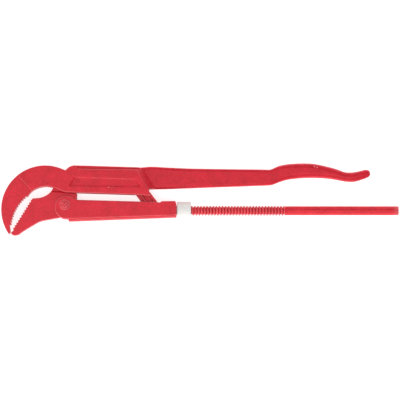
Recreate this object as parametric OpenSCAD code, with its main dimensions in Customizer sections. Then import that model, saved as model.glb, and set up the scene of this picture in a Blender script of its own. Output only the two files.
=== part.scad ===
// Pipe wrench with a hooked upper jaw on a slotted box, a sliding lower jaw, and a threaded rod as
// the lower handle. It lies on its side: +X runs from the jaws to the rod's end, +Y towards the
// upper handle and +Z through the thickness. The origin is under the middle of the outline.

/* [Thicknesses] */
// Thickness of the hook and of the box across its cheeks
body_t = 25; // [24:0.5:27]
// Thickness of the lower jaw
jaw_t = 15.6; // [14:0.2:16]
// Play between the lower jaw and each side of its slot
slot_play = 0.3; // [0.2:0.05:0.4]
// Thickness of the flat handle bar
bar_t = 12; // [10:0.5:14]
// Thickness of the spine along the top of the box
spine_t = 15; // [13:0.5:17]
// Outside thickness of the lower shell
shell_t = 22.4; // [21.6:0.2:23]
// Thickness of the link across its rims
link_t = 15.4; // [14:0.2:15.6]

/* [Spindle] */
// Radius of the plain rod
rod_r = 4.8; // [4.4:0.1:5]
// Radius over the thread's crests
thread_r = 5.22; // [5.1:0.02:5.4]
// Pitch of the thread
thread_pitch = 3.25; // [3:0.05:3.5]
// Radial clearance of the thread in the sleeve and the nut
thread_clear = 0.08; // [0.05:0.01:0.1]

/* [Nut] */
// Outside radius of the adjusting nut
nut_r = 9.6; // [9:0.1:10.4]
// Length of the adjusting nut
nut_len = 14.9; // [12:0.1:16]

/* [Teeth] */
// Number of teeth in the hook
hook_teeth = 13; // [11:1:15]
// Number of teeth in the lower jaw
jaw_teeth = 12; // [10:1:14]
// Height of a tooth
tooth_h = 2.2; // [1:0.1:2.4]

/* [Hidden] */
$fn = 64;

// Hook: outer circle and tooth arc
hook_c = [-163.5, -10.8];
hook_r = 46.5;
hook_row_c = [-151.4, -33.8];
hook_row_r = 50;
tip_relief = 2;
// Throat, from the heel of the tooth arc to the cheeks
throat = [[-181, 4.4], [-179.6, 6.4], [-177.6, 8.4], [-175.3, 10], [-172.6, 11.4], [-169.8, 12.4],
    [-166.9, 13.1], [-163.4, 13.6], [-160, 13.6], [-157, 13.1], [-153.5, 12], [-149.8, 10.6],
    [-145.6, 8.8], [-143, 7.8], [-140.6, 7.3]];

// Lower jaw's tooth row, from its heel at the throat to its toe at the tip
jaw_heel = [-176.7, -0.52];
jaw_toe = [-196.8, -32.72];

// Rivet on which the lower jaw turns
rivet_c = [-142.9, -5.7];
rivet_r = 4;
rivet_head_r = 5.6;
rivet_play = 0.06;
head_sink = 0.3;
ear_c = [-141.1, -8.5];
ear_r = 12.3;

// Spindle axis and its pivot in the link
pivot_c = [-46.5, -11.8];
pivot_pin_r = 2.5;
pivot_play = 0.06;
eye_r = 5.3;
eye_t = 6;
eye_play = 0.2;
rod_end = 210;
spindle_front = -37.5;
front_bevel = 0.6;
thread_root_r = 4.2;
thread_end = 90.4;
thread_turns = floor((thread_end - spindle_front - front_bevel) / thread_pitch);
thread_start = thread_end - thread_turns * thread_pitch;
// Ridge of the thread: share of the thread's height, share of the pitch
ridge = [[0, 0.14], [1, 0.35], [1, 0.65], [0, 0.86]];

// Link: it slides along its own length, up towards the box
link_angle = 127.6;
link_dir = [cos(link_angle), sin(link_angle)];
link_side = [sin(link_angle), -cos(link_angle)];
link_half_w = 6.8;
link_len = 39.6;
guide_c = pivot_c + link_len * link_dir;
guide_pin_r = 2.5;
guide_play = 0.3;
guide_depth = 1.6;
guide_travel = 11.4;
web_depth = 3;
// Sunken strips of the link: their reach along it, and each one's sides across it
strip_from = 9.5;
strip_to = 32;
web_strip = [-1.8, 4.2];
shoulder_strip = [-9, -3.4];

// Sleeve at the rear of the shell, and the nut behind it
sleeve_front = -40.5;
sleeve_rear = -24.8;
nut_gap = 0.4;
slot_t = jaw_t + 2 * slot_play;
channel_t = jaw_t + 0.4;
slot_roof = 27;
slot_w = link_half_w + 0.4;
slot_len = (slot_roof - pivot_c[1] - slot_w * link_side[1]) / link_dir[1];
web_front = -138.9;
panel_depth = 0.9;
// Blend behind the box: its front edge's top and bottom, its length, and its rear thickness
blend_top = [-66.8, 31.2];
blend_low = [-54.2, 11.4];
blend_len = 6;
blend_front_t = body_t - 1.6;
blend_rear_t = bar_t + 0.6;
blend_root = 6;

// Points along an arc
function arc(c, r, a0, a1, n) =
    [for (i = [0 : n]) let (a = a0 + (a1 - a0) * i / n) c + r * [cos(a), sin(a)]];

// A point at a distance t along the link and w across it, from its pivot
function on_link(t, w) = pivot_c + t * link_dir + w * link_side;

// Teeth along an arc, pointing at its centre
function arc_teeth(c, r, a0, a1, n) =
    [for (i = [0 : n - 1], k = [0, 0.62])
        let (a = a0 + (a1 - a0) * (i + k) / n, d = k == 0 ? 0 : tooth_h)
        c + (r - d) * [cos(a), sin(a)]];

// Teeth along a straight line, standing out to its left
function line_teeth(p, q, n) =
    let (u = (q - p) / norm(q - p), v = [-u[1], u[0]], pitch = norm(q - p) / n)
    [for (i = [0 : n - 1], k = [0, 0.38])
        p + (i + k) * pitch * u + (k == 0 ? 0 : -tooth_h) * v];

// One rounded section of the bar: top and bottom points, thickness and corner size
function section(s) =
    let (p = [s[0], s[1]], q = [s[2], s[3]], h = s[4] / 2, c = s[5], m = 0.29 * c,
        v = (q - p) / norm(q - p), len = norm(q - p),
        corner = [[0, h - c], [m, h - m], [c, h], [len - c, h], [len - m, h - m], [len, h - c]])
    [for (k = corner) [p[0] + k[0] * v[0], p[1] + k[0] * v[1], k[1]],
        for (i = [5 : -1 : 0]) let (k = corner[i]) [p[0] + k[0] * v[0], p[1] + k[0] * v[1], -k[1]]];

// Section of the blend at a distance behind the box's rear edge, with a thickness t
function blend_row(reach, t) =
    [[blend_top[0] + reach, blend_top[1], t / 2], [blend_low[0] + reach, blend_low[1], t / 2],
        [blend_low[0] + reach, blend_low[1], -t / 2], [blend_top[0] + reach, blend_top[1], -t / 2]];

// A smooth curve through every row, with n steps between neighbours
function smooth_rows(rows, n) =
    let (last = len(rows) - 1)
    [for (i = [0 : last - 1], k = [0 : n - 1])
        let (a = rows[max(i - 1, 0)], b = rows[i], c = rows[i + 1], d = rows[min(i + 2, last)],
            t = k / n)
        0.5 * (2 * b + t * (c - a) + t * t * (2 * a - 5 * b + 4 * c - d)
            + t * t * t * (3 * b - a - 3 * c + d)),
        rows[last]];

module slab(t) translate([0, 0, body_t / 2 - t / 2]) linear_extrude(t) children();

module across(p, r, t) slab(t) translate(p) circle(r);

// A closed skin over a row of sections
module loft(rows) {
    n = len(rows[0]);
    last = (len(rows) - 1) * n;
    polyhedron(
        points = [for (row = rows) each row],
        faces = [
            [for (i = [0 : n - 1]) i],
            [for (i = [n - 1 : -1 : 0]) last + i],
            for (j = [0 : len(rows) - 2], i = [0 : n - 1])
                let (a = j * n + i, b = j * n + (i + 1) % n) each [[a, a + n, b], [b, a + n, b + n]]]);
}

// Outline of the hook and the cheeks of the box
module body_outline() polygon(concat(
    arc(hook_c, hook_r, 62.6, 214.5, 44),
    [[-200.6, -35.9], [-200.1, -33.4]],
    arc_teeth(hook_row_c, hook_row_r, 172.5, 129, hook_teeth),
    throat,
    [[-68.5, 5], [-52.6, 3.7], [-54, 11.4], [-57.8, 16.6], [-62.4, 24.2], [-66.6, 31.3], [-129.6, 32.1],
        [-130.8, 36], [-134.5, 35.5], [-137.2, 34.7], [-139.8, 33]]));

// Space for the jaw's tongue and the link, open below and at the lower rear corner
module slot_outline() polygon([
    [-160.5, 0], [-160.5, 15.5], [-155, slot_roof],
    on_link(slot_len, slot_w), on_link(8, slot_w), [-60, -2]]);

// Shallow recessed panel in each cheek
module panel_outline(ends) offset(2) offset(-2)
    polygon([[-138.8 - ends, 13.4], [-62.3 + ends, 12], [-68.6 + ends, 21], [-132 - ends, 23.1]]);

// Flat bar from the box to the swan neck: top x, y, bottom x, y, thickness, corner
bar_rows = [
    [-76, 33.2, -66, 14.4, bar_t, 2],
    [-62, 33.9, -57, 11, bar_t, 2.4],
    [-51, 34.7, -48, 10.8, bar_t, 2.4],
    [-34, 33.8, -32, 11.1, bar_t, 2.4],
    [-12, 32.8, -12, 11.8, bar_t, 2.4],
    [14, 32.3, 14, 12.8, bar_t, 2.4],
    [40, 32, 40, 13.7, bar_t, 2.4],
    [60, 31.8, 60, 14.5, bar_t, 2.4],
    [69, 31.6, 70, 14.8, bar_t, 2.6],
    [75, 31.9, 76.4, 15.5, bar_t, 2.8],
    [82.8, 35.4, 84, 18.4, bar_t, 3.4],
    [91.5, 37.2, 92.5, 20.9, bar_t, 3.8],
    [100.3, 38, 100.8, 22, bar_t, 4.2],
    [109.1, 38.3, 109.1, 22.7, bar_t, 4.4],
    [117.9, 38, 117.5, 22.9, bar_t, 4.4],
    [126.5, 36.7, 125.5, 22.7, bar_t, 4.4],
    [135.3, 34.7, 133, 22.3, bar_t, 4.4],
    [144.1, 32.3, 141, 21.3, bar_t - 0.4, 4.4],
    [149.4, 30.3, 147.2, 20.1, bar_t - 0.8, 4.4],
    [154.6, 28.8, 154.2, 18.9, bar_t - 1.4, 4.2],
    [161.6, 28.8, 162.4, 18.7, bar_t - 1.8, 4.1],
    [168.6, 30.1, 170.2, 20.6, bar_t - 2, 4],
    [173.6, 31.4, 176, 22.8, bar_t - 2.2, 3.8],
    [177.2, 31.4, 178.9, 24.4, bar_t - 3.2, 3.2],
    [179.3, 30.2, 180.1, 26.4, bar_t - 5.6, 1.6]];

module upper_handle() color([0.8, 0.16, 0.22]) difference() {
    union() {
        slab(body_t) body_outline();
        slab(spine_t) polygon([[-131.5, 26], [-131.5, 36], [-95.1, 34.9], [-63.4, 33.9], [-60.5, 28]]);
        translate([0, 0, body_t / 2]) {
            loft([blend_row(-blend_root, blend_front_t), blend_row(0, blend_front_t),
                blend_row(blend_len, blend_rear_t)]);
            loft([for (s = smooth_rows(bar_rows, 3)) section(s)]);
        }
    }
    slab(slot_t) slot_outline();
    for (side = [0, 1]) {
        // Recessed panels, the thinner tip of the hook and the blind grooves for the guide pin
        translate([0, 0, side * (body_t - panel_depth)]) linear_extrude(panel_depth) panel_outline(-0.4);
        translate([0, 0, side * (body_t - panel_depth / 2)])
            linear_extrude(panel_depth / 2) panel_outline(0.8);
        translate([0, 0, side * (body_t - tip_relief / 2)])
            linear_extrude(tip_relief / 2) polygon([[-215, 46], [-192.5, 24.5], [-177.7, 8.7],
                [-150, -21], [-190, -60], [-230, -50]]);
    }
    slab(slot_t + 2 * guide_depth) hull() {
        translate(guide_c) circle(guide_pin_r + guide_play);
        translate(guide_c - guide_travel * link_dir) circle(guide_pin_r + guide_play);
    }
}

module lower_jaw() color([0.78, 0.15, 0.2]) difference() {
    union() {
        slab(jaw_t) polygon(concat(
            [[-129.6, 6], [-157.5, 8], [-161.3, 4.8], [-165.5, 2.7], [-169.3, 1.6], [-173.7, 1.2],
                [-177.6, 0.9]],
            line_teeth(jaw_heel, jaw_toe, jaw_teeth),
            [jaw_toe, [-200.1, -35.6], [-198.2, -37.4], [-195.8, -38.3], [-191.4, -37.3],
                [-187.1, -34], [-174.7, -26.5], [-169.3, -23.5], [-165.5, -22.5], [-147.3, -19.2]],
            arc(rivet_c, 12.6, -84, 0, 8)));
        slab(jaw_t - 1.6) polygon([[-157.6, 5], [-157.6, 8], [-155.3, 11.6], [-152.5, 25],
            [-144.6, 25], [-131.4, 8], [-131.4, 4]]);
    }
    across(rivet_c, rivet_r + rivet_play, body_t);
}

module shell_side() polygon(concat(
    arc(ear_c, ear_r, 48, 262, 30),
    [[web_front, -20.7], [sleeve_rear, -16.9], [sleeve_rear, -6], [-25.9, -1.8], [-40.5, -2],
        [-42.3, -3.5], [-45.2, -2.9], [-129, -0.6]]));

module lower_shell() color([0.78, 0.16, 0.21]) difference() {
    union() {
        slab(shell_t) shell_side();
        // Rounded underside, in two steps of chamfer
        slab(shell_t - 2.4)
            polygon([[web_front, -12], [web_front, -22.3], [sleeve_rear, -18.2], [sleeve_rear, -12]]);
        slab(shell_t - 6)
            polygon([[web_front, -12], [web_front, -23.3], [sleeve_rear, -19], [sleeve_rear, -12]]);
    }
    // Channel between the ears, open at the top and the front, up to the sleeve
    slab(channel_t) polygon([[-160, -30], [-160, 8], [sleeve_front, 8],
        [sleeve_front, -17.4], [web_front, -20.6], [web_front, -30]]);
    translate([0, pivot_c[1], body_t / 2]) rotate([0, 90, 0])
        translate([0, 0, sleeve_front - 1]) cylinder(r = thread_r + thread_clear, h = 20);
    across(rivet_c, rivet_r, body_t);
}

module pivot_rivet() color([0.8, 0.2, 0.26]) {
    head_h = (body_t - head_sink - shell_t) / 2;
    across(rivet_c, rivet_r, shell_t);
    for (side = [0, 1])
        translate([rivet_c[0], rivet_c[1], body_t / 2]) mirror([0, 0, side])
            translate([0, 0, shell_t / 2])
                cylinder(r1 = rivet_head_r, r2 = rivet_head_r - 1.2, h = head_h);
}

// Half outline of the spindle: distance from the axis, distance along it
module spindle_profile() polygon(concat(
    [[0, spindle_front], [thread_root_r - front_bevel, spindle_front],
        [thread_root_r, spindle_front + front_bevel], [thread_root_r, thread_start]],
    [for (i = [0 : thread_turns - 1], p = ridge)
        [thread_root_r + p[0] * (thread_r - thread_root_r), thread_start + (i + p[1]) * thread_pitch]],
    [[thread_root_r, thread_end], [rod_r, thread_end + 0.7],
        [rod_r, rod_end - 0.8], [rod_r - 0.8, rod_end], [0, rod_end]]));

module spindle() color([0.76, 0.14, 0.2]) difference() {
    union() {
        translate([0, pivot_c[1], body_t / 2]) rotate([90, 0, 90]) rotate_extrude() spindle_profile();
        // Flat eye on the front end, between the link's fork
        across(pivot_c, eye_r, eye_t);
        slab(eye_t) translate(pivot_c - [0, 3.8]) square([10, 7.6]);
    }
    across(pivot_c, pivot_pin_r + pivot_play, body_t);
}

module adjusting_nut() color([0.93, 0.93, 0.91])
    translate([sleeve_rear + nut_gap, pivot_c[1], body_t / 2]) rotate([90, 0, 90])
        rotate_extrude() polygon([
            [thread_r + thread_clear, 0.6], [thread_r + thread_clear + 0.6, 0],
            [nut_r - 0.7, 0], [nut_r - 0.2, 0.2], [nut_r, 0.7],
            [nut_r, nut_len - 0.7], [nut_r - 0.2, nut_len - 0.2], [nut_r - 0.7, nut_len],
            [thread_r + thread_clear + 0.6, nut_len], [thread_r + thread_clear, nut_len - 0.6]]);

// Link's outline: round at the top, and narrowing to a round eye below
module link_outline() polygon(concat(
    arc(guide_c, link_half_w, link_angle - 90, link_angle + 90, 16),
    [on_link(8, -link_half_w)],
    arc(pivot_c, eye_r, link_angle + 90, link_angle + 270, 16),
    [on_link(8, link_half_w)]));

module link() color([0.74, 0.13, 0.18]) difference() {
    slab(link_t) link_outline();
    // Sunken web between the rims and a shoulder outside the front rim, on both sides
    for (side = [-1, 1], strip = [web_strip, shoulder_strip])
        translate([0, 0, body_t / 2 + side * (link_t - web_depth) / 2])
            linear_extrude(web_depth, center = true)
                polygon([on_link(strip_from, strip[0]), on_link(strip_to, strip[0]),
                    on_link(strip_to, strip[1]), on_link(strip_from, strip[1])]);
    // Fork for the spindle's eye
    slab(eye_t + 2 * eye_play) translate(pivot_c) circle(eye_r + 1.2);
    across(pivot_c, pivot_pin_r, body_t);
    across(guide_c, guide_pin_r, body_t);
}

module spindle_pin() color([0.7, 0.12, 0.17]) across(pivot_c, pivot_pin_r, link_t);

module link_guide_pin() color([0.62, 0.62, 0.64])
    across(guide_c, guide_pin_r, slot_t + 2 * guide_depth - 0.4);

upper_handle();
lower_jaw();
lower_shell();
pivot_rivet();
spindle();
adjusting_nut();
link();
spindle_pin();
link_guide_pin();
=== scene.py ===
"""Pipe wrench lying on its side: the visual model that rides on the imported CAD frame."""
import math

import bmesh
import bpy
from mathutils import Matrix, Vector


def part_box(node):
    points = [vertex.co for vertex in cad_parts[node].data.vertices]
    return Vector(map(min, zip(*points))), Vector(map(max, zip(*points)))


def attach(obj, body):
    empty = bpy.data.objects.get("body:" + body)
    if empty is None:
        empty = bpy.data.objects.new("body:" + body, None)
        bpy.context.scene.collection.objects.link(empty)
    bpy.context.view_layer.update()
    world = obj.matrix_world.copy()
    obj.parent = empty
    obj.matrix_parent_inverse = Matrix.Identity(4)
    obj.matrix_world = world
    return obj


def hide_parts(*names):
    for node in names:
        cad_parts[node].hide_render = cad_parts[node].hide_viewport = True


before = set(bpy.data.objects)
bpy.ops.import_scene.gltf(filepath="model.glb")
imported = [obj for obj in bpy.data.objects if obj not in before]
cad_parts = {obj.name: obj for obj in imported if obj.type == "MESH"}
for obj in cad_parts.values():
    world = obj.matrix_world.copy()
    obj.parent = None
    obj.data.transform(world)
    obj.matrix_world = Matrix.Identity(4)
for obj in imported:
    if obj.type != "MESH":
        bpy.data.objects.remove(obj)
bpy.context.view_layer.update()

MM = 0.001

# Driving places, from the frame
BODY_LOW, BODY_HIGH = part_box("upper_handle")
SPINDLE_LOW, SPINDLE_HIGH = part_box("spindle")
NUT_LOW, NUT_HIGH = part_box("adjusting_nut")
RIVET_LOW, RIVET_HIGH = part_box("pivot_rivet")
PIN_LOW, PIN_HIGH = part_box("spindle_pin")
GUIDE_LOW, GUIDE_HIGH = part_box("link_guide_pin")
MID_Z = (BODY_LOW.z + BODY_HIGH.z) / 2
AXIS_Y = (NUT_LOW.y + NUT_HIGH.y) / 2


# ---------------------------------------------------------------- material helpers

class Nodes:
    """A material's node tree, with short calls for the nodes that repeat."""

    def __init__(self, name):
        self.material = bpy.data.materials.new(name)
        self.material.use_nodes = True
        self.tree = self.material.node_tree
        self.shader = self.tree.nodes["Principled BSDF"]
        self.coords = self.tree.nodes.new("ShaderNodeTexCoord").outputs["Object"]

    def link(self, a, b):
        self.tree.links.new(a, b)

    def noise(self, scale, detail=3.0, roughness=0.5, stretch=None):
        node = self.tree.nodes.new("ShaderNodeTexNoise")
        node.inputs["Scale"].default_value = scale
        node.inputs["Detail"].default_value = detail
        node.inputs["Roughness"].default_value = roughness
        source = self.coords
        if stretch:
            mapping = self.tree.nodes.new("ShaderNodeMapping")
            mapping.inputs["Scale"].default_value = stretch
            self.link(source, mapping.inputs["Vector"])
            source = mapping.outputs["Vector"]
        self.link(source, node.inputs["Vector"])
        return node.outputs["Fac"]

    def voronoi(self, scale):
        node = self.tree.nodes.new("ShaderNodeTexVoronoi")
        node.inputs["Scale"].default_value = scale
        self.link(self.coords, node.inputs["Vector"])
        return node.outputs["Distance"]

    def ramp(self, value, stops):
        node = self.tree.nodes.new("ShaderNodeValToRGB")
        ramp = node.color_ramp
        while len(ramp.elements) < len(stops):
            ramp.elements.new(0.5)
        for element, (place, colour) in zip(ramp.elements, stops):
            element.position = place
            element.color = (*colour, 1.0)
        self.link(value, node.inputs["Fac"])
        return node.outputs["Color"]

    def span(self, value, low, high, to_low, to_high):
        node = self.tree.nodes.new("ShaderNodeMapRange")
        ends = {"From Min": low, "From Max": high, "To Min": to_low, "To Max": to_high}
        for name, number in ends.items():
            node.inputs[name].default_value = number
        self.link(value, node.inputs["Value"])
        return node.outputs["Result"]

    def mix(self, factor, first, second):
        node = self.tree.nodes.new("ShaderNodeMix")
        node.data_type = "RGBA"
        for place, value in ((0, factor), (6, first), (7, second)):
            socket = node.inputs[place]
            if isinstance(value, bpy.types.NodeSocket):
                self.link(value, socket)
            elif isinstance(value, tuple):
                socket.default_value = (*value, 1.0)
            else:
                socket.default_value = value
        return node.outputs[2]

    def pointiness(self):
        return self.tree.nodes.new("ShaderNodeNewGeometry").outputs["Pointiness"]

    def bump(self, heights):
        """Bumps laid on each other: (height, strength, distance in metres)."""
        normal = None
        for height, strength, distance in heights:
            node = self.tree.nodes.new("ShaderNodeBump")
            node.inputs["Strength"].default_value = strength
            node.inputs["Distance"].default_value = distance
            self.link(height, node.inputs["Height"])
            if normal:
                self.link(normal, node.inputs["Normal"])
            normal = node.outputs["Normal"]
        self.link(normal, self.shader.inputs["Normal"])

    def put(self, **values):
        for name, value in values.items():
            self.shader.inputs[name.replace("_", " ")].default_value = value


# ---------------------------------------------------------------- materials

# Pale pink laid on convex edges as a painted highlight.
EDGE_HIGHLIGHT_PINK = (0.98, 0.42, 0.44)


def darker(colour, share):
    return tuple(c * share for c in colour)


def red_enamel(name, deep, bright, edge, grain=1.0):
    """Red enamel over a forging: mottled, a little metallic, with a painted highlight lightening the
    convex edges and painted shade darkening the creases.
    """
    m = Nodes(name)
    patches = m.noise(95.0, 4.0, 0.6)
    flecks = m.noise(900.0, 2.0, 0.6)
    colour = m.ramp(patches, [(0.3, deep), (0.7, bright)])
    fleck_mask = m.span(flecks, 0.35, 0.75, 0.0, 0.42)
    colour = m.mix(fleck_mask, colour, edge)
    pits = m.span(m.voronoi(520.0), 0.0, 0.22, 0.28, 0.0)
    colour = m.mix(pits, colour, darker(deep, 0.45))
    # Painted highlight: convex edges (high pointiness) are lightened towards pale pink.
    painted_edge_highlight = m.span(m.pointiness(), 0.515, 0.565, 0.0, 0.6)
    colour = m.mix(painted_edge_highlight, colour, EDGE_HIGHLIGHT_PINK)
    # Painted shade: creases and hollows (low pointiness) are darkened towards deep red.
    painted_crease_shade = m.span(m.pointiness(), 0.42, 0.49, 0.6, 0.0)
    colour = m.mix(painted_crease_shade, colour, darker(deep, 0.35))
    m.link(colour, m.shader.inputs["Base Color"])
    m.link(m.span(flecks, 0.3, 0.7, 0.30, 0.46), m.shader.inputs["Roughness"])
    m.put(Metallic=0.1, Specular_IOR_Level=0.24, Coat_Weight=0.05, Coat_Roughness=0.3)
    m.bump([(patches, 0.10 * grain, 0.4 * MM), (flecks, 0.16 * grain, 0.12 * MM)])
    return m.material


def pale_plating():
    """Pale plated nut: matte, faintly mottled, with fine turning marks round its axis."""
    m = Nodes("pale_plating")
    cloud = m.noise(260.0, 4.0, 0.6)
    turning = m.noise(420.0, 2.0, 0.5, stretch=(6.0, 0.05, 0.05))
    colour = m.ramp(cloud, [(0.3, (0.80, 0.785, 0.755)), (0.7, (0.90, 0.885, 0.855))])
    colour = m.mix(m.span(turning, 0.4, 0.7, 0.0, 0.12), colour, (0.66, 0.66, 0.62))
    m.link(colour, m.shader.inputs["Base Color"])
    m.link(m.span(cloud, 0.3, 0.7, 0.42, 0.58), m.shader.inputs["Roughness"])
    m.bump([(turning, 0.12, 0.10 * MM), (cloud, 0.10, 0.15 * MM)])
    return m.material


def turned_steel():
    """Bare steel with fine turning marks, for the guide pin."""
    m = Nodes("turned_steel")
    marks = m.noise(700.0, 3.0, 0.6)
    colour = m.ramp(marks, [(0.3, (0.42, 0.42, 0.44)), (0.7, (0.6, 0.6, 0.62))])
    m.link(colour, m.shader.inputs["Base Color"])
    m.link(m.span(marks, 0.3, 0.7, 0.28, 0.45), m.shader.inputs["Roughness"])
    m.put(Metallic=1.0)
    m.bump([(marks, 0.1, 0.1 * MM)])
    return m.material


def pale_floor():
    """Pale studio floor, lit a little from within so that it stays near white."""
    m = Nodes("pale_floor")
    cloud = m.noise(3.0, 2.0, 0.5)
    colour = m.ramp(cloud, [(0.3, (0.66, 0.66, 0.66)), (0.7, (0.70, 0.70, 0.70))])
    m.link(colour, m.shader.inputs["Base Color"])
    m.put(Roughness=0.9, Emission_Color=(1.0, 1.0, 1.0, 1.0), Emission_Strength=0.75)
    return m.material


FORGED_RED = red_enamel("forged_red", (0.50, 0.003, 0.012), (0.68, 0.006, 0.024), (0.90, 0.055, 0.09))
ROD_RED = red_enamel("rod_red", (0.56, 0.006, 0.016), (0.74, 0.012, 0.028), (0.95, 0.09, 0.12), grain=0.7)
RIVET_RED = red_enamel("rivet_red", (0.55, 0.012, 0.026), (0.74, 0.03, 0.05), (0.95, 0.24, 0.27))
NUT_PALE = pale_plating()
STEEL = turned_steel()


# ---------------------------------------------------------------- mesh helpers

def mesh_object(name, verts, faces, material, smooth=True):
    """A new object with outward normals and one material."""
    mesh = bpy.data.meshes.new(name)
    mesh.from_pydata(verts, [], faces)
    mesh.update()
    work = bmesh.new()
    work.from_mesh(mesh)
    bmesh.ops.recalc_face_normals(work, faces=work.faces)
    work.to_mesh(mesh)
    work.free()
    piece = bpy.data.objects.new(name, mesh)
    bpy.context.scene.collection.objects.link(piece)
    mesh.materials.append(material)
    mesh.shade_smooth() if smooth else mesh.shade_flat()
    return piece


def apply_modifiers(piece):
    """Puts the result of the piece's modifiers into its own mesh."""
    graph = bpy.context.evaluated_depsgraph_get()
    done = bpy.data.meshes.new_from_object(piece.evaluated_get(graph))
    piece.modifiers.clear()
    old = piece.data
    piece.data = done
    bpy.data.meshes.remove(old)


def forged(node, name, material, voxel, passes, crisp=None):
    """A copy of a CAD node with the soft edges of a forging.

    crisp(point) gives how much of the softening a point takes, from 0 to 1."""
    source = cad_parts[node]
    piece = bpy.data.objects.new(name, source.data.copy())
    bpy.context.scene.collection.objects.link(piece)
    piece.data.materials.clear()
    remesh = piece.modifiers.new("skin", "REMESH")
    remesh.mode = "VOXEL"
    remesh.voxel_size = voxel
    remesh.use_smooth_shade = True
    apply_modifiers(piece)
    soften = piece.modifiers.new("soften", "SMOOTH")
    soften.factor = 0.5
    soften.iterations = passes
    if crisp:
        group = piece.vertex_groups.new(name="soft")
        for vertex in piece.data.vertices:
            group.add([vertex.index], crisp(vertex.co), "REPLACE")
        soften.vertex_group = group.name
    apply_modifiers(piece)
    piece.vertex_groups.clear()
    piece.data.materials.clear()
    piece.data.materials.append(material)
    piece.data.shade_smooth()
    return piece


def ring_faces(rings, segments):
    """Quads between neighbouring rings of equal numbers of vertices."""
    faces = []
    for j in range(rings - 1):
        for k in range(segments):
            a = j * segments + k
            b = j * segments + (k + 1) % segments
            faces.append((a, b, b + segments, a + segments))
    return faces


def lathe(rings, segments, centre):
    """Vertices and faces of a piece turned round X.

    rings are (distance along the axis, radius), and a radius may be a function of the angle."""
    verts = []
    for along, radius in rings:
        for k in range(segments):
            angle = 2 * math.pi * k / segments
            r = radius(angle) if callable(radius) else radius
            verts.append(Vector((along, r * math.cos(angle), r * math.sin(angle))) + centre)
    return verts, ring_faces(len(rings), segments)


# ---------------------------------------------------------------- pieces

# Share of the softening that a crisp place takes, and how far it reaches round a line
SHARP = 0.06
SHARP_REACH = 1.3 * MM
# The tooth rows lie in front of this X and below this Y
TEETH_X = -172 * MM
TEETH_Y = 6 * MM
# Lines of the outline that stay crisp, each from one place to another
STEP_LINE = ((-192.5 * MM, 24.5 * MM), (-177.7 * MM, 8.7 * MM))
PANEL_FRONT = ((-137.6 * MM, 15.2 * MM), (-133.2 * MM, 21.4 * MM))
PANEL_REAR = ((-64.4 * MM, 14.4 * MM), (-68.2 * MM, 19.6 * MM))
# Grooves of the guide pin inside the cheeks
GUIDE_MIDDLE = (GUIDE_LOW + GUIDE_HIGH) / 2
GUIDE_RUN = Vector((7.0 * MM, -9.0 * MM))
GROOVE = (GUIDE_MIDDLE.xy, GUIDE_MIDDLE.xy + GUIDE_RUN)
GROOVE_REACH = 5.0 * MM
GROOVE_HALF_T = (GUIDE_HIGH.z - GUIDE_LOW.z) / 2 + 0.6 * MM


def off_line(point, line):
    """Distance of a point from a line between two places of the outline."""
    start = Vector(line[0])
    run = Vector(line[1]) - start
    reach = point.xy - start
    along = reach.dot(run) / run.length_squared
    return (reach - run * min(max(along, 0.0), 1.0)).length


def near_teeth(point):
    """Little softening round the tooth rows, full softening elsewhere."""
    in_rows = point.x < TEETH_X and point.y < TEETH_Y
    return SHARP if in_rows else 1.0


def near_edges(point):
    """Little softening at the teeth, the hook's step, the panels' ends and the grooves."""
    lines = (STEP_LINE, PANEL_FRONT, PANEL_REAR)
    close = any(off_line(point, line) < SHARP_REACH for line in lines)
    in_groove = abs(point.z - MID_Z) < GROOVE_HALF_T and off_line(point, GROOVE) < GROOVE_REACH
    return SHARP if close or in_groove else near_teeth(point)


def make_forgings():
    handle = forged("upper_handle", "handle_forging", FORGED_RED, 0.5 * MM, 5, near_edges)
    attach(handle, "handle")
    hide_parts("upper_handle")
    jaw = forged("lower_jaw", "jaw_forging", FORGED_RED, 0.45 * MM, 4, near_teeth)
    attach(jaw, "jaw")
    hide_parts("lower_jaw")
    shell = forged("lower_shell", "shell_pressing", FORGED_RED, 0.45 * MM, 3)
    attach(shell, "shell")
    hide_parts("lower_shell")
    link = forged("link", "link_forging", FORGED_RED, 0.35 * MM, 2)
    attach(link, "link")
    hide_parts("link")


THREAD_PITCH = 3.25 * MM
THREAD_ROOT = 3.6 * MM
THREAD_CREST = 5.22 * MM
ROD_R = 4.8 * MM
ROD_FRONT = SPINDLE_HIGH.x - 247.5 * MM
THREAD_FROM = SPINDLE_HIGH.x - 246.35 * MM
THREAD_TO = SPINDLE_HIGH.x - 119.6 * MM
# Lengths over which the thread rises at its front and fades into the rod
RUN_IN = 2.0 * MM
RUN_OUT = 1.6 * MM
# The root begins this far from a crest, and a flank takes this share, both of half a pitch
ROOT_PHASE = 0.86
FLANK_SHARE = 0.54
TAIL_ROUND = 0.9 * MM


def thread_radius(x, angle):
    """Distance of the rolled thread's surface from its axis."""
    turn = (x - THREAD_FROM) / THREAD_PITCH - angle / (2 * math.pi)
    phase = abs((turn % 1.0) - 0.5) * 2
    flank = min(max((ROOT_PHASE - phase) / FLANK_SHARE, 0.0), 1.0)
    rise = 0.5 * flank + 0.5 * flank * flank * (3 - 2 * flank)
    fade = min(1.0, (x - THREAD_FROM) / RUN_IN, (THREAD_TO - x) / RUN_OUT)
    plain = ROD_R if x > THREAD_TO - RUN_OUT else THREAD_ROOT
    return plain + max(fade, 0.0) * (THREAD_ROOT + rise * (THREAD_CREST - THREAD_ROOT) - plain)


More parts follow.
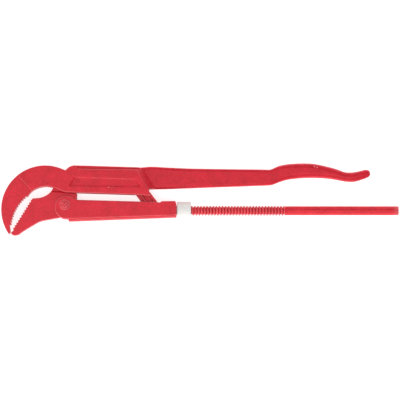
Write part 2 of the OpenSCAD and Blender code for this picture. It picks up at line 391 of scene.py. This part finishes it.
def make_spindle():
    """Rod with a helical rolled thread and a rounded tail."""
    segments = 56
    steps_a_turn = 14
    plain_steps = 23
    bevel = 0.5 * MM
    rings = [(ROD_FRONT, 0.0), (ROD_FRONT, THREAD_ROOT - bevel), (ROD_FRONT + bevel, THREAD_ROOT),
             (THREAD_FROM, THREAD_ROOT)]
    count = round((THREAD_TO - THREAD_FROM) / THREAD_PITCH * steps_a_turn)
    for i in range(1, count):
        x = THREAD_FROM + (THREAD_TO - THREAD_FROM) * i / count
        rings.append((x, lambda angle, x=x: thread_radius(x, angle)))
    rings.append((THREAD_TO, ROD_R))
    plain_length = SPINDLE_HIGH.x - TAIL_ROUND - THREAD_TO
    for i in range(1, plain_steps + 1):
        rings.append((THREAD_TO + plain_length * i / plain_steps, ROD_R))
    rings += [(SPINDLE_HIGH.x - 0.5 * MM, ROD_R - 0.18 * MM),
              (SPINDLE_HIGH.x - 0.15 * MM, ROD_R - 0.45 * MM),
              (SPINDLE_HIGH.x, ROD_R - TAIL_ROUND), (SPINDLE_HIGH.x, 0.0)]
    verts, faces = lathe(rings, segments, Vector((0, AXIS_Y, MID_Z)))
    rod = mesh_object("spindle_rod", verts, faces, ROD_RED)
    weld(rod)
    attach(rod, "spindle")
    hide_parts("spindle")


def ring_skin(name, centre, rings, segments, material):
    """A closed skin of rings round Z.

    Each ring is (radius, height), and a height may be a function of the angle."""
    verts = []
    for radius, height in rings:
        for k in range(segments):
            angle = 2 * math.pi * k / segments
            z = height(angle) if callable(height) else height
            verts.append(centre + Vector((radius * math.cos(angle), radius * math.sin(angle), z)))
    piece = mesh_object(name, verts, ring_faces(len(rings), segments), material)
    weld(piece)
    return piece


def weld(piece):
    """Joins the doubled vertices at the poles of a skin, and shades it smooth."""
    work = bmesh.new()
    work.from_mesh(piece.data)
    bmesh.ops.remove_doubles(work, verts=work.verts, dist=0.0005 * MM)
    bmesh.ops.recalc_face_normals(work, faces=work.faces)
    work.to_mesh(piece.data)
    work.free()
    piece.data.shade_smooth()


RIVET_HEAD_R = (RIVET_HIGH.x - RIVET_LOW.x) / 2
RIVET_SHANK_R = 4.0 * MM
RIVET_HEAD_H = 1.1 * MM
# Punched lobes: number, then distance from the middle, radius and groove as shares of the head
LOBES = 4
LOBE_PLACE = 0.43
LOBE_R = 0.27
LOBE_GROOVE = 0.8


def rivet_height(radius, angle):
    """Height of the peened head: a low rim, a groove inside it, and a rosette of round lobes."""
    r = radius / RIVET_HEAD_R
    rim = 0.62 * max(0.0, 1 - r ** 8) ** 0.5
    groove = -0.30 * math.exp(-((r - LOBE_GROOVE) / 0.07) ** 2)
    lobes = 0.0
    for k in range(LOBES):
        turn = 2 * math.pi * (k + 0.5) / LOBES
        dx = r * math.cos(angle) - LOBE_PLACE * math.cos(turn)
        dy = r * math.sin(angle) - LOBE_PLACE * math.sin(turn)
        lobes = max(lobes, max(0.0, 1 - (dx * dx + dy * dy) / LOBE_R ** 2) ** 0.5)
    sunk = -0.2 if r < LOBE_GROOVE else 0.0
    return RIVET_HEAD_H * min(1.0, rim + groove + sunk + 0.55 * lobes)


def make_rivet():
    """Rivet with a peened head on each side."""
    shell_low, shell_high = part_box("lower_shell")
    middle = (RIVET_LOW + RIVET_HIGH) / 2
    face = (shell_high.z - shell_low.z) / 2
    steps = 40
    radii = [RIVET_HEAD_R * i / steps for i in range(steps + 1)]
    top = [(r, lambda angle, r=r: face + rivet_height(r, angle)) for r in radii]
    low = [(r, lambda angle, r=r: -face - rivet_height(r, angle)) for r in reversed(radii)]
    sunk = face - 0.05 * MM
    neck = [(RIVET_HEAD_R, sunk), (RIVET_SHANK_R, sunk), (RIVET_SHANK_R, -sunk), (RIVET_HEAD_R, -sunk)]
    rivet = ring_skin("rivet_peened", middle, top + neck + low, 128, RIVET_RED)
    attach(rivet, "shell")
    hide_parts("pivot_rivet")


def make_guide_pin():
    """Turned pin with chamfered ends, a little free of the grooves in the cheeks."""
    free = 0.2 * MM
    chamfer = 0.5 * MM
    radius = (GUIDE_HIGH.x - GUIDE_LOW.x) / 2 - free
    half = (GUIDE_HIGH.z - GUIDE_LOW.z) / 2 - free
    top = [(0.0, half), (radius - chamfer, half), (radius, half - chamfer)]
    low = [(r, -z) for r, z in reversed(top)]
    pin = ring_skin("guide_pin_turned", GUIDE_MIDDLE, top + low, 64, STEEL)
    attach(pin, "link")
    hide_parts("link_guide_pin")


EYE_R = 5.3 * MM
EYE_HOLE_R = 2.56 * MM
EYE_HALF_T = 3.0 * MM
NECK_HALF_W = 3.8 * MM
NECK_LENGTH = 10.0 * MM


def eye_reach(angle):
    """Distance from the pivot to the eye's outline: round, with a straight neck towards the rod."""
    side = abs(math.sin(angle))
    ahead = math.cos(angle)
    if ahead > 0 and side * EYE_R < NECK_HALF_W:
        return min(NECK_LENGTH / ahead, NECK_HALF_W / max(side, 1e-6))
    return EYE_R


def make_eye():
    """Flat eye on the front end of the spindle, between the link's fork."""
    pivot = (PIN_LOW + PIN_HIGH) / 2
    segments = 120
    loops = [(EYE_HOLE_R, EYE_HALF_T), (None, EYE_HALF_T), (None, -EYE_HALF_T), (EYE_HOLE_R, -EYE_HALF_T)]
    verts = []
    for radius, z in loops:
        for k in range(segments):
            angle = 2 * math.pi * k / segments
            r = radius if radius else eye_reach(angle)
            verts.append(pivot + Vector((r * math.cos(angle), r * math.sin(angle), z)))
    faces = []
    for j in range(4):
        for k in range(segments):
            n = (k + 1) % segments
            a, b = j * segments, (j + 1) % 4 * segments
            faces.append((a + k, a + n, b + n, b + k))
    eye = mesh_object("spindle_eye", verts, faces, ROD_RED, smooth=False)
    bevel = eye.modifiers.new("edges", "BEVEL")
    bevel.width = 0.3 * MM
    bevel.segments = 2
    apply_modifiers(eye)
    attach(eye, "spindle")


def make_nut():
    """Round nut with rounded corners and a countersunk bore."""
    length = NUT_HIGH.x - NUT_LOW.x
    outer = (NUT_HIGH.y - NUT_LOW.y) / 2
    bore = 5.3 * MM
    corner = 0.8 * MM
    half = [(0.6 * MM, bore), (0.0, bore + 0.6 * MM), (0.0, outer - corner)]
    for i in range(1, 6):
        angle = math.pi / 2 * i / 5
        half.append((corner * (1 - math.cos(angle)), outer - corner * (1 - math.sin(angle))))
    far = [(length - along, radius) for along, radius in reversed(half)]
    body = [(corner + (length - 2 * corner) * i / 12, outer) for i in range(1, 12)]
    rings = half + body + far + [half[0]]
    centre = Vector((NUT_LOW.x, AXIS_Y, MID_Z))
    verts, faces = lathe(rings, 128, centre)
    nut = mesh_object("nut_plated", verts, faces, NUT_PALE)
    weld(nut)
    edges = nut.modifiers.new("flat_ends", "WEIGHTED_NORMAL")
    edges.keep_sharp = True
    apply_modifiers(nut)
    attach(nut, "nut")
    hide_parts("adjusting_nut")


def make_camera():
    data = bpy.data.cameras.new("camera")
    camera = bpy.data.objects.new("camera", data)
    bpy.context.scene.collection.objects.link(camera)
    distance = 9.0
    tilt = math.radians(2.5)
    frame_width = 0.4228
    target = Vector((0.0, -0.4 * MM, MID_Z))
    camera.location = target + distance * Vector((0.0, -math.sin(tilt), math.cos(tilt)))
    camera.rotation_euler = (tilt, 0.0, 0.0)
    data.sensor_width = 36.0
    data.lens = distance * data.sensor_width / frame_width
    data.clip_end = 20.0
    bpy.context.scene.camera = camera


def area_light(name, place, target, size, power, colour=(1.0, 1.0, 1.0)):
    data = bpy.data.lights.new(name, "AREA")
    data.shape = "RECTANGLE"
    data.size, data.size_y = size
    data.energy = power
    data.color = colour
    light = bpy.data.objects.new(name, data)
    bpy.context.scene.collection.objects.link(light)
    light.location = place
    light.rotation_euler = (Vector(target) - Vector(place)).to_track_quat("-Z", "Y").to_euler()


def make_stage():
    half = 3.0
    floor = mesh_object("floor", [(-half, -half, 0), (half, -half, 0), (half, half, 0), (-half, half, 0)],
                        [(0, 1, 2, 3)], pale_floor())
    world = bpy.data.worlds.new("studio")
    bpy.context.scene.world = world
    world.use_nodes = True
    background = world.node_tree.nodes["Background"]
    background.inputs["Color"].default_value = (1.0, 1.0, 1.0, 1.0)
    background.inputs["Strength"].default_value = 0.46
    area_light("low_front", (-0.45, -1.1, 0.30), (-0.05, 0.0, 0.0), (1.8, 0.5), 11.0)
    area_light("low_back", (0.1, 1.1, 0.35), (0.0, 0.0, 0.0), (1.8, 0.5), 4.5)
    area_light("overhead", (-0.2, -0.35, 1.7), (0.0, 0.0, 0.0), (1.2, 0.9), 10.0)
    bpy.context.scene.view_settings.view_transform = "Standard"


make_camera()
make_stage()
make_forgings()
make_spindle()
make_eye()
make_rivet()
make_nut()
make_guide_pin()
spindle_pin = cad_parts["spindle_pin"].data
spindle_pin.materials.clear()
spindle_pin.materials.append(FORGED_RED)
